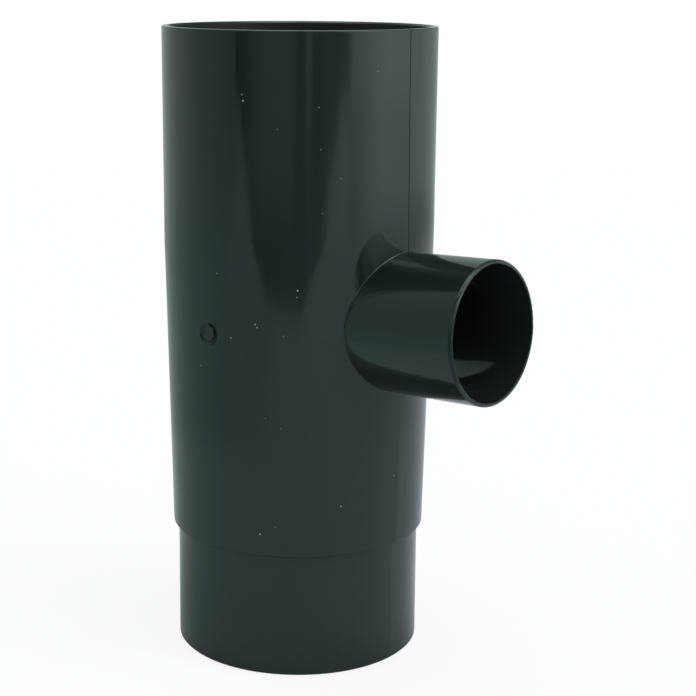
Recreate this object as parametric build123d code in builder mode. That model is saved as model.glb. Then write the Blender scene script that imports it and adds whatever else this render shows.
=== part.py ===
from build123d import *
from math import cos, radians, sin, tan
import os

# Downpipe branch, moulded in one piece: a socket at the top takes the pipe from
# above, the plain spigot at the bottom slides into the pipe below, and a short
# side tube lets in a smaller pipe. Millimetres. +Z runs up the main axis, +X
# points the way the side tube leans out, and the origin is the centre of the
# spigot's lower end.

# Pipes that meet the fitting, and the radial gap left round each
main_pipe_od = 100.0
main_pipe_wall = 1.8
side_pipe_od = 50.0
socket_clearance = 0.5
spigot_clearance = 0.2
side_clearance = 0.25

# Lengths along the main axis, from the bottom
spigot_length = 48.0
taper_length = 114.0
socket_depth = 82.0

# Walls of the main tube
spigot_wall = 2.0
body_wall = 2.3
socket_root_wall = 2.2
socket_mouth_wall = 2.5
stop_ledge = 1.5
shoulder_blend = 4.0

# Side tube; its length is counted from the foot of the body
side_axis_height = 133.0
side_angle = 87.5
side_length = 42.5
side_socket_depth = 35.0
side_mouth_wall = 1.5
side_stop_ledge = 1.25
side_draft = 0.2

# Edges and the weld-like corner where the side tube leaves the body
rim_round = 0.5
rim_lead_in = 0.7
spigot_lead_in = 0.5
shoulder_chamfer = 0.35
socket_bend_radius = 550.0
side_rim_round = 1.0
side_lead_in = 0.2
junction_fillet = 0.4

# Gate mark, a dished ring with a flat button left in it
gate_mark_height = 132.1
gate_mark_diameter = 9.6
gate_button_diameter = 5.8
gate_button_flank = 0.55
gate_mark_depth = 0.5
gate_button_below_wall = 0.1
gate_cut_clearance = 1.0

# Radii and heights that follow from the sizes above
spigot_radius = main_pipe_od / 2 - main_pipe_wall - spigot_clearance
spigot_bore_radius = spigot_radius - spigot_wall
body_low_radius = main_pipe_od / 2
body_low_bore_radius = body_low_radius - body_wall
socket_bore_radius = main_pipe_od / 2 + socket_clearance
socket_root_radius = socket_bore_radius + socket_root_wall
socket_mouth_radius = socket_bore_radius + socket_mouth_wall
stop_radius = socket_bore_radius - stop_ledge
socket_floor_height = spigot_length + taper_length
total_height = socket_floor_height + socket_depth

side_reach = body_low_radius + side_length
side_bore_radius = side_pipe_od / 2 + side_clearance
side_mouth_radius = side_bore_radius + side_mouth_wall
side_axis_radius = side_mouth_radius - side_reach * tan(radians(side_draft))
side_stop_radius = side_bore_radius - side_stop_ledge
side_floor_reach = side_reach - side_socket_depth

side_lean = radians(90.0 - side_angle)
side_direction = Vector(cos(side_lean), 0, sin(side_lean))
side_start = Vector(0, 0, side_axis_height)
side_axis = Axis(side_start, side_direction)
side_section = Plane(origin=side_start, x_dir=side_direction, z_dir=(0, -1, 0))

taper_slope = (socket_root_radius - body_low_radius) / taper_length
gate_centre = Vector(0, 0, gate_mark_height)
gate_wall_radius = body_low_radius + taper_slope * (gate_mark_height - spigot_length)
gate_floor_radius = gate_wall_radius - gate_mark_depth
gate_button_radius = gate_wall_radius - gate_button_below_wall
gate_foot_radius = gate_button_diameter / 2 + gate_button_flank
gate_ring_slope = (gate_mark_diameter / 2 - gate_foot_radius) / gate_mark_depth
gate_flank_slope = gate_button_flank / gate_mark_depth
gate_cut_radius = gate_wall_radius + gate_cut_clearance
gate_cut_height = gate_mark_depth + gate_cut_clearance
gate_section = Plane(origin=gate_centre, x_dir=(0, -1, 0), z_dir=(-1, 0, 0))
gate_axis = Axis(gate_centre, (0, -1, 0))


def corner(point):
    """The corner of the sketch in progress that lies at the given point."""
    return vertices().sort_by_distance(point)[0]


with BuildPart() as branch_fitting:
    # Outside of the main tube: spigot, shoulder, tapered body, nearly straight socket
    with BuildSketch(Plane.XZ):
        with BuildLine():
            Polyline(
                (0, 0),
                (spigot_radius - spigot_lead_in, 0),
                (spigot_radius, spigot_lead_in),
                (spigot_radius, spigot_length),
                (body_low_radius, spigot_length),
                (socket_root_radius, socket_floor_height),
                (socket_mouth_radius, total_height),
                (0, total_height),
                close=True,
            )
        make_face()
        chamfer(corner((body_low_radius, spigot_length)), length=shoulder_chamfer)
        fillet(corner((socket_root_radius, socket_floor_height)), radius=socket_bend_radius)
        fillet(corner((socket_mouth_radius, total_height)), radius=rim_round)
    revolve(axis=Axis.Z)

    # Outside of the side tube, widening a little towards its mouth
    with BuildSketch(side_section):
        with BuildLine():
            Polyline(
                (0, 0),
                (side_reach, 0),
                (side_reach, side_mouth_radius),
                (0, side_axis_radius),
                close=True,
            )
        make_face()
        fillet(corner((side_reach, side_mouth_radius)), radius=side_rim_round)
    revolve(axis=side_axis)

    # Saddle-shaped corner all round the foot of the side tube
    new_edges = edges(Select.LAST)
    saddle = new_edges.filter_by(GeomType.CIRCLE, reverse=True).filter_by(GeomType.LINE, reverse=True)
    fillet(saddle, radius=junction_fillet)

    # Inside of the main tube: each stretch is narrower than the one above it, so
    # that one core draws out upwards, and the ledge under the socket stops the pipe
    with BuildSketch(Plane.XZ):
        with BuildLine():
            Polyline(
                (0, 0),
                (spigot_bore_radius, 0),
                (spigot_bore_radius, spigot_length - shoulder_blend / 2),
                (body_low_bore_radius, spigot_length + shoulder_blend / 2),
                (stop_radius, socket_floor_height),
                (socket_bore_radius, socket_floor_height),
                (socket_bore_radius, total_height - rim_lead_in),
                (socket_bore_radius + rim_lead_in, total_height),
                (0, total_height),
                close=True,
            )
        make_face()
    revolve(axis=Axis.Z, mode=Mode.SUBTRACT)

    # Inside of the side tube: its own socket and stop, then the way into the body
    with BuildSketch(side_section):
        with BuildLine():
            Polyline(
                (0, 0),
                (side_reach, 0),
                (side_reach, side_bore_radius + side_lead_in),
                (side_reach - side_lead_in, side_bore_radius),
                (side_floor_reach, side_bore_radius),
                (side_floor_reach, side_stop_radius),
                (0, side_stop_radius),
                close=True,
            )
        make_face()
    revolve(axis=side_axis, mode=Mode.SUBTRACT)

    # Gate mark a quarter-turn round from the side tube: the ring slopes down inwards,
    # and the button's flank rises steeply from its foot
    with BuildSketch(gate_section):
        with BuildLine():
            Polyline(
                (gate_floor_radius, gate_foot_radius),
                (gate_cut_radius, gate_foot_radius + gate_cut_height * gate_ring_slope),
                (gate_cut_radius, gate_foot_radius - gate_cut_height * gate_flank_slope),
                close=True,
            )
        make_face()
    revolve(axis=gate_axis, mode=Mode.SUBTRACT)
    with BuildSketch(Plane.XZ.offset(gate_button_radius)):
        with Locations((0, gate_mark_height)):
            Circle(gate_button_diameter / 2)
    extrude(amount=gate_cut_clearance, mode=Mode.SUBTRACT)

branch_fitting.part.label = "branch_fitting"

os.makedirs("parts", exist_ok=True)
export_step(branch_fitting.part, "parts/branch_fitting.step")
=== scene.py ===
import math

import bpy
from mathutils import Matrix, Vector

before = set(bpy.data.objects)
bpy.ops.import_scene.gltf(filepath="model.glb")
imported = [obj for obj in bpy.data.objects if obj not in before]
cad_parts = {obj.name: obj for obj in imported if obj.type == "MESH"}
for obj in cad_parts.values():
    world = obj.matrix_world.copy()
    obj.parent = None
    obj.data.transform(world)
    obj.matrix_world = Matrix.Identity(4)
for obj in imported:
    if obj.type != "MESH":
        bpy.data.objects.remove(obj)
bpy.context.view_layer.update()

# Camera: place, direction and framing solved from the photograph's outline
CAM_PLACE = Vector((0.40701, -0.47235, 0.26568))
CAM_PITCH = 10.843
CAM_ROLL = -0.256
CAM_LENS = 83.28
CAM_SENSOR = 36.0
CAM_SHIFT = (0.0705, -0.1034)
CAM_CLIP = (0.01, 50.0)

# Floor: a round table top just under the object, and how much of it is white in itself to the camera
FLOOR_RADIUS = 1.6
FLOOR_SIDES = 96
FLOOR_DROP = 0.0003
FLOOR_WHITE_SHARE = 0.85

# Studio: the middle of the unlit gap behind the camera, as a compass angle, and the tint of its dim light
GAP_ANGLE = -57.0
DIM_TINT = (0.84, 1.0, 0.94)

# Places on the object: the shoulder over the spigot, the side tube's axis and mouth, the gate mark
SHOULDER_HEIGHT = 0.048
SIDE_FOOT = (0.0, 0.0, 0.133)
SIDE_LEAN = math.radians(2.5)
SIDE_DIRECTION = (math.cos(SIDE_LEAN), 0.0, math.sin(SIDE_LEAN))
SIDE_REACH = 0.0925
GATE_HEIGHT = 0.1321

# Colours of the plastic: outside between two shades, main bore darkened as painted shade, side bore, painted shade
# for the parting groove and the torn gate mark, dust
OUTSIDE_DARK = (0.0089, 0.0152, 0.0131, 1)
OUTSIDE_PALE = (0.0097, 0.0164, 0.0142, 1)
# Main bore: darker than the outside, as painted shade inside the tube
MAIN_BORE_PAINTED_SHADE = (0.0085, 0.0095, 0.0092, 1)
SIDE_BORE = (0.0150, 0.0195, 0.0180, 1)
# Painted shade: the dark of the parting groove and of a crescent at the torn gate mark
PAINTED_SHADE_DARK = (0.003, 0.004, 0.004, 1)
DUST_GREY = (0.55, 0.56, 0.54, 1)
SHINE_TINT = (0.80, 1.0, 0.94, 1)

# Dust on the outside: place and radius in millimetres
DUST = (
    (50.5, -15.9, 229.4, 0.16), (16.3, -50.4, 221.2, 0.24), (16.6, -50.2, 219.0, 0.30), (39.4, -35.3, 217.1, 0.18),
    (28.2, -44.7, 209.2, 0.12), (39.9, -34.6, 202.0, 0.16), (44.5, -28.5, 191.6, 0.12), (40.3, -34.0, 179.1, 0.14),
    (5.3, -52.3, 155.3, 0.20), (33.9, -40.0, 150.9, 0.28), (33.7, -40.1, 148.4, 0.18), (33.5, -40.2, 147.1, 0.15),
    (20.3, -48.0, 137.7, 0.26), (21.0, -47.7, 136.6, 0.26), (10.8, -50.8, 131.6, 0.26), (29.6, -42.8, 133.8, 0.15),
    (-3.9, -51.5, 118.9, 0.20), (23.4, -45.7, 102.2, 0.18), (28.3, -42.7, 98.6, 0.15), (50.6, -2.7, 75.7, 0.18),
    (43.4, -25.7, 67.7, 0.27), (49.0, 11.1, 57.4, 0.16), (20.7, -45.7, 56.7, 0.30), (25.9, -43.1, 60.0, 0.16),
    (-20.1, -43.6, 2.9, 0.16), (79.9, -26.3, 135.6, 0.20),
)


class Nodes:
    """Short calls for building a node tree. All but add and feed give the output to link from."""

    def __init__(self, tree):
        tree.nodes.clear()
        self.tree = tree

    def add(self, kind, **settings):
        node = self.tree.nodes.new(kind)
        for name, value in settings.items():
            setattr(node, name, value)
        return node

    def feed(self, socket, value):
        if isinstance(value, bpy.types.NodeSocket):
            self.tree.links.new(value, socket)
        else:
            socket.default_value = value

    def math(self, operation, a, b=0.0):
        node = self.add("ShaderNodeMath", operation=operation)
        self.feed(node.inputs[0], a)
        self.feed(node.inputs[1], b)
        return node.outputs[0]

    def total(self, first, *others):
        for other in others:
            first = self.math("ADD", first, other)
        return first

    def product(self, first, *others):
        for other in others:
            first = self.math("MULTIPLY", first, other)
        return first

    def difference(self, first, second):
        return self.math("SUBTRACT", first, second)

    def rest(self, share):
        """What the share leaves of one."""
        return self.math("SUBTRACT", 1.0, share)

    def length(self, a, b):
        return self.math("SQRT", self.total(self.product(a, a), self.product(b, b)))

    def vector(self, operation, a, b=(0.0, 0.0, 0.0), scale=1.0):
        node = self.add("ShaderNodeVectorMath", operation=operation)
        self.feed(node.inputs[0], a)
        self.feed(node.inputs[1], b)
        if operation == "SCALE":
            self.feed(node.inputs["Scale"], scale)
        return node.outputs["Value" if operation in ("DOT_PRODUCT", "DISTANCE") else "Vector"]

    def split(self, vector):
        node = self.add("ShaderNodeSeparateXYZ")
        self.feed(node.inputs[0], vector)
        return node.outputs["X"], node.outputs["Y"], node.outputs["Z"]

    def join(self, *parts):
        node = self.add("ShaderNodeCombineXYZ")
        for socket, part in zip(node.inputs, parts):
            self.feed(socket, part)
        return node.outputs[0]

    def noise(self, place, scale, detail):
        node = self.add("ShaderNodeTexNoise")
        self.feed(node.inputs["Vector"], place)
        self.feed(node.inputs["Scale"], scale)
        self.feed(node.inputs["Detail"], detail)
        return node.outputs["Fac"]

    def colour_mix(self, share, first, second):
        node = self.add("ShaderNodeMix", data_type="RGBA")
        self.feed(node.inputs["Factor"], share)
        self.feed(node.inputs["A"], first)
        self.feed(node.inputs["B"], second)
        return node.outputs["Result"]

    def shader_mix(self, share, first, second):
        node = self.add("ShaderNodeMixShader")
        self.feed(node.inputs["Fac"], share)
        self.feed(node.inputs[1], first)
        self.feed(node.inputs[2], second)
        return node.outputs["Shader"]

    def seen_or_met(self, seen, met):
        """One shader for the camera and what looks through glass, another for reflections and light."""
        path = self.add("ShaderNodeLightPath")
        direct = self.math("MAXIMUM", path.outputs["Is Camera Ray"], path.outputs["Is Transmission Ray"])
        return self.shader_mix(direct, met, seen)

    def ramp(self, value, start, end, low=0.0, high=1.0):
        """A smooth step from low to high as the value goes from start to end."""
        node = self.add("ShaderNodeMapRange", interpolation_type="SMOOTHSTEP")
        names = ("Value", "From Min", "From Max", "To Min", "To Max")
        for name, entry in zip(names, (value, start, end, low, high)):
            self.feed(node.inputs[name], entry)
        return node.outputs["Result"]

    def band(self, value, start, end, soft):
        """One between start and end, fading to nought over the soft distance outside them."""
        return self.product(self.ramp(value, start - soft, start), self.ramp(value, end, end + soft, 1.0, 0.0))


def add_camera():
    flat = Vector((-CAM_PLACE.x, -CAM_PLACE.y, 0)).normalized()
    pitch = math.radians(CAM_PITCH)
    roll = math.radians(CAM_ROLL)
    look = flat * math.cos(pitch) - Vector((0, 0, math.sin(pitch)))
    right = look.cross(Vector((0, 0, 1))).normalized()
    down = look.cross(right)
    turned_right = right * math.cos(roll) + down * math.sin(roll)
    turned_down = -right * math.sin(roll) + down * math.cos(roll)
    turn = Matrix((turned_right, -turned_down, -look)).transposed()
    data = bpy.data.cameras.new("camera")
    data.lens = CAM_LENS
    data.sensor_width = CAM_SENSOR
    data.shift_x, data.shift_y = CAM_SHIFT
    data.clip_start, data.clip_end = CAM_CLIP
    camera = bpy.data.objects.new("camera", data)
    camera.matrix_world = Matrix.Translation(CAM_PLACE) @ turn.to_4x4()
    bpy.context.scene.collection.objects.link(camera)
    bpy.context.scene.camera = camera


def gate_wear_and_painted_shade(n, x, y, z):
    """The torn gate mark: a crescent on one side of its button, dulled and darkened as painted shade, and a blotch
    on the other.
    """
    across = n.product(x, 1000)
    above = n.product(n.difference(z, GATE_HEIGHT), 1000)
    near_side = n.ramp(y, -0.049, -0.048, 1.0, 0.0)
    from_gate = n.length(across, above)
    ring = n.product(n.ramp(from_gate, 2.7, 3.2), n.ramp(from_gate, 4.6, 5.0, 1.0, 0.0))
    # Painted shade: the crescent outside the button on its right
    crescent_painted_shade = n.product(ring, n.ramp(n.total(across, n.product(above, 0.2)), -0.2, 1.6), near_side)
    from_blotch = n.length(n.difference(across, -1.9), n.product(n.difference(above, 0.3), 0.7))
    blotch = n.product(n.ramp(from_blotch, 0.5, 1.4, 1.0, 0.0), near_side)
    return crescent_painted_shade, blotch


def dust_spots(n, place, speckle):
    """Dust and chips, with edges that the speckle makes uneven."""
    dust = 0.0
    uneven = n.product(n.difference(speckle, 0.5), 0.0003)
    for *spot, radius in DUST:
        apart = n.total(n.vector("DISTANCE", place, [part / 1000 for part in spot]), uneven)
        size = radius / 1000
        dust = n.math("MAXIMUM", dust, n.ramp(apart, size * 0.7, size * 1.3, 0.8, 0.0))
    return dust


def plastic_material():
    """Glossy dark plastic with its moulding marks, a parting line, a torn gate mark and dust."""
    material = bpy.data.materials.new("dark_plastic")
    material.use_nodes = True
    n = Nodes(material.node_tree)
    out = n.add("ShaderNodeOutputMaterial")
    shader = n.add("ShaderNodeBsdfPrincipled")
    n.feed(out.inputs["Surface"], shader.outputs["BSDF"])
    place = n.add("ShaderNodeTexCoord").outputs["Object"]
    x, y, z = n.split(place)
    facing = n.add("ShaderNodeNewGeometry").outputs["Normal"]

    # Bores: where the surface faces its own axis. Their finish is duller and their colour more neutral; the main
    # bore's colour is also darker, as painted shade inside the tube.
    from_foot = n.vector("SUBTRACT", place, SIDE_FOOT)
    reach = n.vector("DOT_PRODUCT", from_foot, SIDE_DIRECTION)
    from_side_axis = n.vector("SUBTRACT", from_foot, n.vector("SCALE", SIDE_DIRECTION, scale=reach))
    in_main = n.ramp(n.vector("DOT_PRODUCT", facing, n.join(x, y, 0.0)), -0.040, -0.035, 1.0, 0.0)
    in_side = n.ramp(n.vector("DOT_PRODUCT", facing, from_side_axis), -0.020, -0.010, 1.0, 0.0)
    outside = n.rest(n.math("MAXIMUM", in_main, in_side))

    # Moulding: faint draw lines up the walls, orange peel, and cloudy changes of gloss
    drawn = n.noise(n.vector("MULTIPLY", place, (1.0, 1.0, 0.07)), 170.0, 2.0)
    peel = n.noise(place, 900.0, 1.0)
    cloud = n.noise(place, 28.0, 3.0)
    speckle = n.noise(place, 2600.0, 1.0)

    # Parting line near the plane through both tubes: a groove on the socket, hardly there on the body; its dark
    # colour is painted shade in the groove
    from_line = n.math("ABSOLUTE", n.difference(y, n.ramp(z, 0.15, 0.24, 0.0012, 0.0001)))
    above_shoulder = n.ramp(z, SHOULDER_HEIGHT - 0.0002, SHOULDER_HEIGHT + 0.0002)
    line = n.product(n.ramp(from_line, 0.00016, 0.00034, 1.0, 0.0), above_shoulder, outside)
    seam = n.product(line, n.ramp(z, 0.09, 0.12, 0.08, 1.0))

    # The cut rim of the side tube is dull on its near side
    at_mouth = n.ramp(reach, SIDE_REACH - 0.0013, SIDE_REACH - 0.0009)
    rim = n.product(at_mouth, n.ramp(y, -0.0235, -0.0205, 1.0, 0.0))

    crescent_painted_shade, blotch = gate_wear_and_painted_shade(n, x, y, z)
    dust = n.product(dust_spots(n, place, speckle), outside)

    base = n.colour_mix(n.ramp(cloud, 0.3, 0.7), OUTSIDE_DARK, OUTSIDE_PALE)
    # Painted shade: the main bore gets a darker colour
    base = n.colour_mix(in_main, base, MAIN_BORE_PAINTED_SHADE)
    base = n.colour_mix(in_side, base, SIDE_BORE)
    # Painted shade in the parting groove and in the crescent beside the gate mark's button
    base = n.colour_mix(seam, base, PAINTED_SHADE_DARK)
    base = n.colour_mix(n.product(crescent_painted_shade, 0.6), base, PAINTED_SHADE_DARK)
    base = n.colour_mix(dust, base, DUST_GREY)
    n.feed(shader.inputs["Base Color"], base)

    roughness = n.total(
        n.ramp(cloud, 0.25, 0.75, 0.065, 0.1), n.ramp(speckle, 0.3, 0.7, -0.01, 0.01),
        n.product(in_main, 0.22), n.product(in_side, 0.02), n.product(seam, 0.7), n.product(dust, 0.6),
    )
    n.feed(shader.inputs["Roughness"], roughness)
    lost_shine = n.total(
        n.product(crescent_painted_shade, 0.36), n.product(blotch, 0.16), n.product(seam, 0.3), n.product(rim, 0.25),
        n.product(in_side, 0.09),
    )
    n.feed(shader.inputs["Specular IOR Level"], n.difference(0.5, lost_shine))

    height = n.total(
        n.product(drawn, 0.000011), n.product(peel, 0.0000012), n.product(dust, 0.00008), n.product(seam, -0.00006)
    )
    bump = n.add("ShaderNodeBump")
    bump.inputs["Distance"].default_value = 1.0
    n.feed(bump.inputs["Height"], height)
    n.feed(shader.inputs["Normal"], bump.outputs["Normal"])
    shader.inputs["IOR"].default_value = 1.5
    shader.inputs["Specular Tint"].default_value = SHINE_TINT
    return material


def floor_material():
    """White to the camera but for the object's soft shadow; reflections and light meet a pale table top with
    painted light and shade.
    """
    material = bpy.data.materials.new("pale_floor")
    material.use_nodes = True
    n = Nodes(material.node_tree)
    out = n.add("ShaderNodeOutputMaterial")
    x, y, _ = n.split(n.add("ShaderNodeNewGeometry").outputs["Position"])
    far = n.length(x, y)

    def along(x_share, y_share):
        return n.total(n.product(x, x_share), n.product(y, y_share))

    # Painted shade: a rounded notch where the camera stands is darkened, standing in for where the table top stops
    notch = n.product(
        n.ramp(along(0.957, -0.289), 0.30, 0.335),
        n.ramp(along(-0.0995, -0.995), 0.365, 0.40),
        n.ramp(along(0.616, -0.788), 0.54, 0.62),
    )

    # Painted light and shade: it is paler on the right, most of all close by where it offsets the object's shadow,
    # and dims further out
    to_right = along(0.85, 0.525)
    close = n.product(n.ramp(far, 0.06, 0.2, 0.12, 0.0), n.ramp(to_right, 0.02, 0.08))
    dim_left = n.product(n.ramp(far, 0.26, 0.34), n.ramp(to_right, -0.2, 0.0, 1.0, 0.0), 0.18)
    dim_behind = n.product(n.ramp(far, 0.4, 0.85), n.ramp(y, 0.25, 0.55), 0.2)
    pale = n.total(n.ramp(to_right, 0.0, 0.25, 0.645, 0.71), close)
    tone = n.product(pale, n.rest(n.total(dim_left, dim_behind)), n.ramp(notch, 0.0, 1.0, 1.0, 0.28))

    # Slightly green on the left, nearly neutral elsewhere
    neutral = n.colour_mix(n.ramp(far, 0.4, 0.9), (0.97, 0.98, 1.06, 1), (0.97, 1.0, 1.0, 1))
    turned_right = n.math("DIVIDE", along(0.974, 0.225), far)
    tint = n.colour_mix(n.ramp(turned_right, -0.64, -0.47), (0.82, 1.0, 0.95, 1), neutral)
    table = n.add("ShaderNodeBsdfDiffuse")
    n.feed(table.inputs["Color"], n.vector("SCALE", tint, scale=tone))

    # Far from the object the table top gives way to the studio's own lower half
    clear = n.add("ShaderNodeBsdfTransparent").outputs["BSDF"]
    met = n.shader_mix(n.ramp(far, 0.75, 1.5), table.outputs["BSDF"], clear)

    matt = n.add("ShaderNodeBsdfDiffuse")
    matt.inputs["Color"].default_value = (0.98, 0.98, 0.98, 1)
    white = n.add("ShaderNodeEmission")
    white.inputs["Strength"].default_value = 1.0
    seen = n.shader_mix(FLOOR_WHITE_SHARE, matt.outputs["BSDF"], white.outputs["Emission"])
    n.feed(out.inputs["Surface"], n.seen_or_met(seen, met))
    return material


def add_floor():
    corners = []
    for i in range(FLOOR_SIDES):
        angle = math.tau * i / FLOOR_SIDES
        corners.append((FLOOR_RADIUS * math.cos(angle), FLOOR_RADIUS * math.sin(angle), -FLOOR_DROP))
    mesh = bpy.data.meshes.new("floor")
    mesh.from_pydata(corners, [], [tuple(range(FLOOR_SIDES))])
    mesh.materials.append(floor_material())
    floor = bpy.data.objects.new("floor", mesh)
    bpy.context.scene.collection.objects.link(floor)


def left_wall(n, around, up):
    """Dim wall on the left, down to the table's edge at the gap."""
    edge = n.total(n.ramp(up, -5.2, -4.6, -41.0, -46.0), n.ramp(up, -10.5, -5.5, 11.0, 0.0))
    tone = n.total(n.ramp(around, -110, -60, 0.61, 0.46), n.ramp(around, -60, -46, 0.0, -0.1))
    glow = n.product(n.ramp(up, -9.0, -4.6, 0.16, 0.0), n.ramp(around, -62, -42))
    return n.product(n.total(tone, glow), n.ramp(n.difference(around, edge), -1.5, 1.5, 1.0, 0.0))


def right_wall(n, around, up):
    """Bright wall on the right, darker high up and further round."""
    tone = n.product(n.ramp(around, 45.5, 54), n.total(1.1, n.ramp(around, 54, 84, 0.0, 0.53)))
    fall = n.product(
        n.ramp(around, 72, 162, 1.0, 0.32), n.ramp(around, 84, 112, 1.0, 0.88), n.ramp(around, 124, 140, 1.0, 1.2)
    )
    top = n.rest(n.product(n.ramp(around, 95, 115), n.ramp(up, 8, 16), 0.55))
    return n.product(tone, fall, top)


def right_table(n, around, up):
    """The lit table in front of the bright wall, from the gap's slanting edge round to the right."""
    tone = n.total(0.6, n.ramp(around, 46, 80, 0.0, 0.73))
    far_right = n.product(n.ramp(around, 106, 128), n.ramp(around, 140, 158, 1.0, 0.6))
    fall = n.total(1.0, n.product(far_right, n.ramp(up, -9.2, -7.3, -0.30, 0.5)))
    edge = n.ramp(up, -10.5, -4.8, 25.5, 41.0)
    return n.product(tone, n.ramp(around, 70, 138, 1.0, 0.35), fall, n.ramp(n.difference(around, edge), -2.5, 2.5))


def add_world():
    """White to the camera; reflections and light meet a studio of softly bounded bright and dim places."""
    world = bpy.data.worlds.new("studio")
    world.use_nodes = True
    n = Nodes(world.node_tree)
    out = n.add("ShaderNodeOutputWorld")
    turned = n.add("ShaderNodeVectorRotate", rotation_type="Z_AXIS")
    n.feed(turned.inputs["Vector"], n.add("ShaderNodeTexCoord").outputs["Generated"])
    turned.inputs["Angle"].default_value = math.radians(-GAP_ANGLE)
    ahead, aside, high = n.split(turned.outputs["Vector"])

    # Compass angle from the middle of the gap, and height above the horizon, in degrees
    around = n.math("MULTIPLY", n.math("ARCTAN2", aside, ahead), math.degrees(1))
    up = n.math("MULTIPLY", n.math("ARCSINE", high), math.degrees(1))
    on_wall = n.ramp(up, -5.4, -4.4)
    lit = n.total(
        n.product(right_wall(n, around, up), on_wall), n.product(right_table(n, around, up), n.rest(on_wall))
    )

    # Faint light inside the gap: haze and a glow left of its middle, a thin streak, a dim strip by the right
    # wall, and the near edge of the table
    haze_tone = n.ramp(around, 20, 60, 0.17, 0.09)
    haze = n.product(n.ramp(around, -50, -32), haze_tone, n.ramp(around, 100, 145, 1.0, 0.0))
    glow = n.product(n.ramp(around, -37, -22), n.ramp(around, 1, 6, 1.0, 0.0), n.ramp(up, -10, -5.5, 0.08, 0.23))
    streak = n.product(n.band(around, 13.5, 16.5, 2.0), n.ramp(up, -8.0, -4.0, 0.06, 0.32))
    strip_tone = n.total(0.11, n.ramp(around, 37, 45, 0.0, 0.1))
    strip = n.product(n.ramp(around, 25, 31), strip_tone, n.ramp(around, 45.5, 54, 1.0, 0.0))
    near = n.product(n.ramp(up, -9.5, -8.0, 0.14, 0.0), n.ramp(around, 10, 22), n.ramp(around, 22, 50, 1.0, 0.0))

    # Soft light over the camera and high on both sides, a lamp and a pale patch on the right, a little from
    # straight above
    over_camera = n.product(n.ramp(up, 18, 26), n.ramp(up, 34, 48, 1.0, 0.1), n.band(around, -50, 50, 20), 1.05)
    high_left = n.product(n.ramp(up, 50, 62), n.band(around, -155, -60, 18), 0.45)
    high_right = n.product(n.ramp(up, 45, 60), n.band(around, 85, 140, 18), 0.35)
    lamp = n.product(n.band(around, 72, 84, 9.0), n.band(up, 37, 43, 5.0), 3.8)
    low_right = n.product(n.band(around, 45, 75, 12.0), n.band(up, 12, 28, 6.0), 0.9)
    above = n.ramp(up, 58, 75, 0.0, 1.2)

    # The dim light is slightly green, and so is what the bright wall becomes far round to the right
    dim_share = n.ramp(around, 85, 150)
    plain_light = n.total(
        n.product(lit, n.rest(dim_share)), streak, strip, over_camera, high_left, high_right, lamp, low_right, above
    )
    dim_light = n.total(n.product(lit, dim_share), left_wall(n, around, up), glow, near, haze)
    studio = n.add("ShaderNodeBackground")
    n.feed(studio.inputs["Color"], n.join(*[n.total(plain_light, n.product(dim_light, tint)) for tint in DIM_TINT]))
    studio.inputs["Strength"].default_value = 1.0
    white = n.add("ShaderNodeBackground")
    white.inputs["Color"].default_value = (1, 1, 1, 1)
    white.inputs["Strength"].default_value = 1.0
    n.feed(out.inputs["Surface"], n.seen_or_met(white.outputs["Background"], studio.outputs["Background"]))
    bpy.context.scene.world = world


add_camera()
add_world()
add_floor()
plastic = plastic_material()
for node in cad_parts.values():
    for slot in node.material_slots:
        slot.material = plastic

bpy.context.scene.view_settings.view_transform = "Standard"
